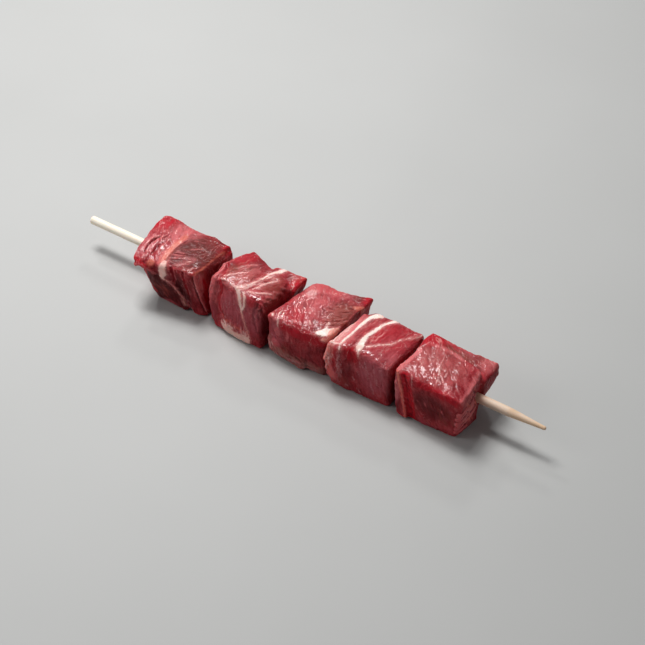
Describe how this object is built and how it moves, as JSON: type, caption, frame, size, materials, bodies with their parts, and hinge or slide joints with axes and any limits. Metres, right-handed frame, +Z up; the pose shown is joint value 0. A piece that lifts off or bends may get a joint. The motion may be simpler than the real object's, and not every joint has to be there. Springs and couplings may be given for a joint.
{
  "type": "lamb kebab skewer",
  "caption": "Raw lamb kebab: uneven hand-cut cubes of marbled lamb threaded side by side on a round pointed wooden skewer, ready to grill.",
  "frame": {"origin": "on the surface that the kebab lies on, under the middle of the skewer's length", "axes": "+X along the skewer towards its sharpened point, +Z up from the surface"},
  "size_m": [0.25, 0.0403, 0.0277],
  "materials": {
    "raw_lamb": "wet raw lamb, deep red with cream-white fat seams",
    "skewer_wood": "bare pale wood, lightly sanded, straight grain"
  },
  "bodies": {
    "root": {"skewer": "skewer_wood", "meat_cube_1": "raw_lamb", "meat_cube_2": "raw_lamb", "meat_cube_3": "raw_lamb", "meat_cube_4": "raw_lamb", "meat_cube_5": "raw_lamb"}
  },
  "joints": []
}
